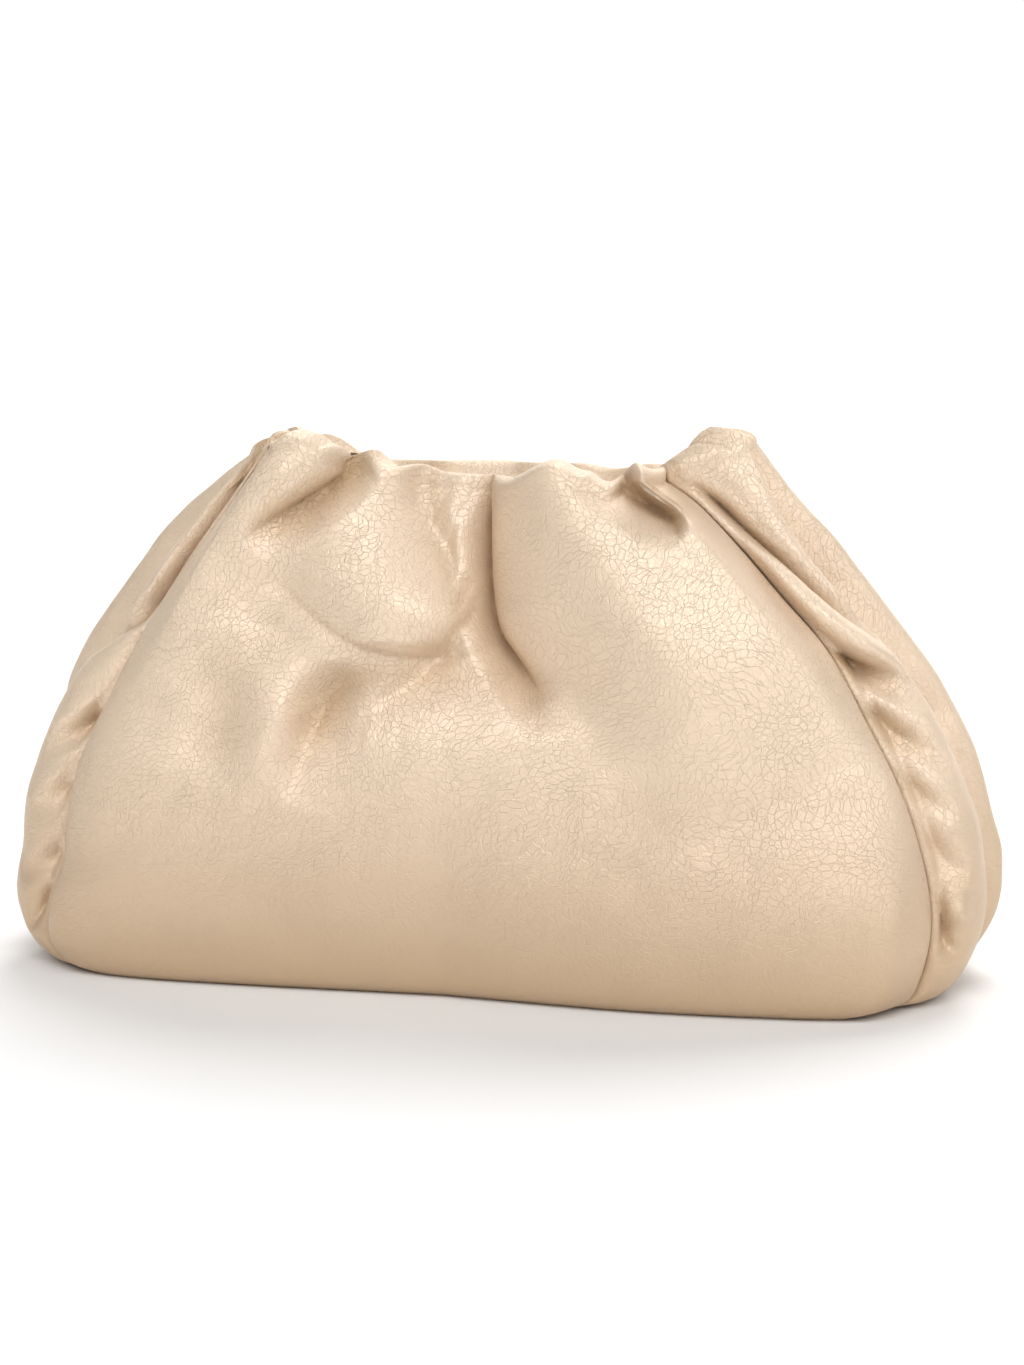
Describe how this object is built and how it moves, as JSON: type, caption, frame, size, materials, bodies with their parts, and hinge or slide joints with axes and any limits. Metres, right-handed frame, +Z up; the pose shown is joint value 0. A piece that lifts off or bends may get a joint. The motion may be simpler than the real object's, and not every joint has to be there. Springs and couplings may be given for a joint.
{
  "type": "soft gathered clutch pouch bag",
  "caption": "Soft leather clutch pouch, wide and full at its flat base, gathered in pleats at the top onto a slim frame that lies hidden in the turned-over rim",
  "frame": {"origin": "on the floor, under the middle of the whole bag", "axes": "+X along the mouth to the viewer's right, +Y from the front to the back, +Z up"},
  "size_m": [0.3842, 0.1404, 0.2089],
  "materials": {
    "leather": "soft pearly nappa",
    "frame_metal": "satin"
  },
  "bodies": {
    "root": {"front_panel": "leather", "back_panel": "leather", "right_gusset": "leather", "left_gusset": "leather", "clasp_frame": "frame_metal"}
  },
  "joints": []
}
